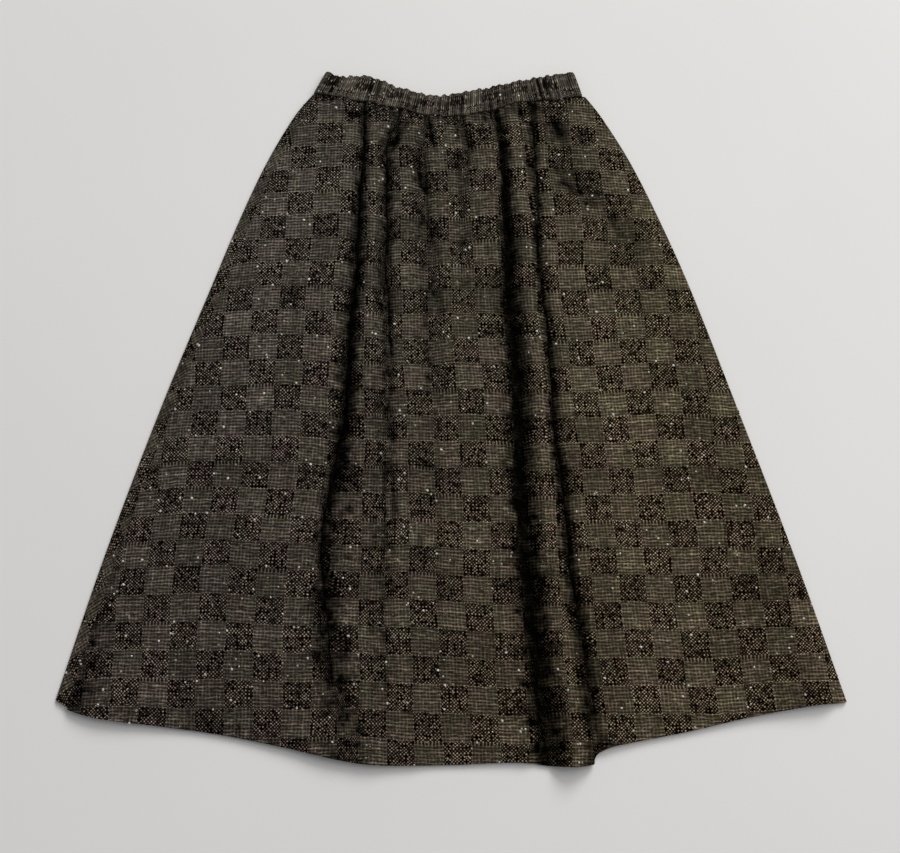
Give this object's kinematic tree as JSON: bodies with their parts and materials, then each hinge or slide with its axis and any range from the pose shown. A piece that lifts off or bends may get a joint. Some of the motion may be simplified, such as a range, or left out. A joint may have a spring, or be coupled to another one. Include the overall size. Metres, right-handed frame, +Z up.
{
  "type": "midi skirt",
  "caption": "A-line midi skirt in block-check tweed, gathered into a puckered elastic waistband and laid flat, its front in long soft folds over the back panel.",
  "frame": {"origin": "middle of the footprint, on the surface that the skirt lies on", "axes": "+X across the hem, +Y from the hem towards the waist, +Z up, out of the front panel"},
  "size_m": [0.8886, 0.8488, 0.0246],
  "materials": {
    "tweed": "dark wool tweed in a block check with pale flecks, matt and slightly hairy",
    "band_tweed": "the same tweed, ruched into narrow upright puckers over elastic"
  },
  "bodies": {
    "root": {"front_panel": "tweed", "back_panel": "tweed", "waistband": "band_tweed"}
  },
  "joints": []
}
